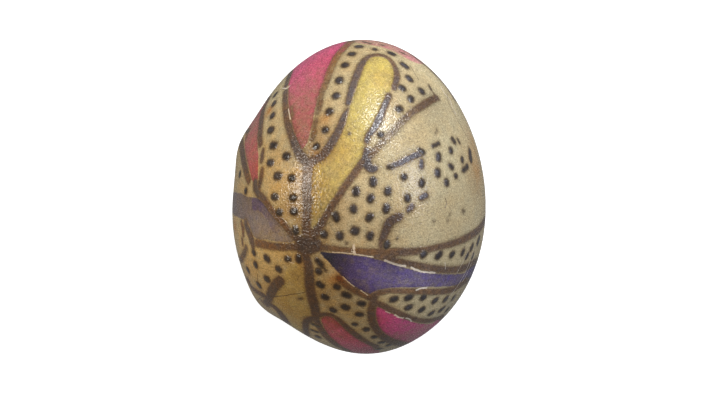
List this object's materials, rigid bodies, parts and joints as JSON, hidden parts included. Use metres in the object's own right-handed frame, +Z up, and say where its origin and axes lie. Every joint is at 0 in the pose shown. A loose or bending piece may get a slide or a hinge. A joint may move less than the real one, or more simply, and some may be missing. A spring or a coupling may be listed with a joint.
{
  "type": "painted easter egg",
  "caption": "Whole hen's egg lying on its side, its shell drawn with brown lines, dark dots and pink, yellow and violet petals.",
  "frame": {"origin": "middle of the flat spot on the egg's lowest side, where the lying egg touches the surface under it", "axes": "+Z up, +Y along the egg towards its pointed end, +X across it, to the right when seen from above with the pointed end away"},
  "size_m": [0.0444, 0.0551, 0.0441],
  "materials": {
    "painted_shell": "varnished eggshell with hand-drawn brown lines, dark dots and dyed petals, satin"
  },
  "bodies": {
    "root": {"egg": "painted_shell"}
  },
  "joints": []
}
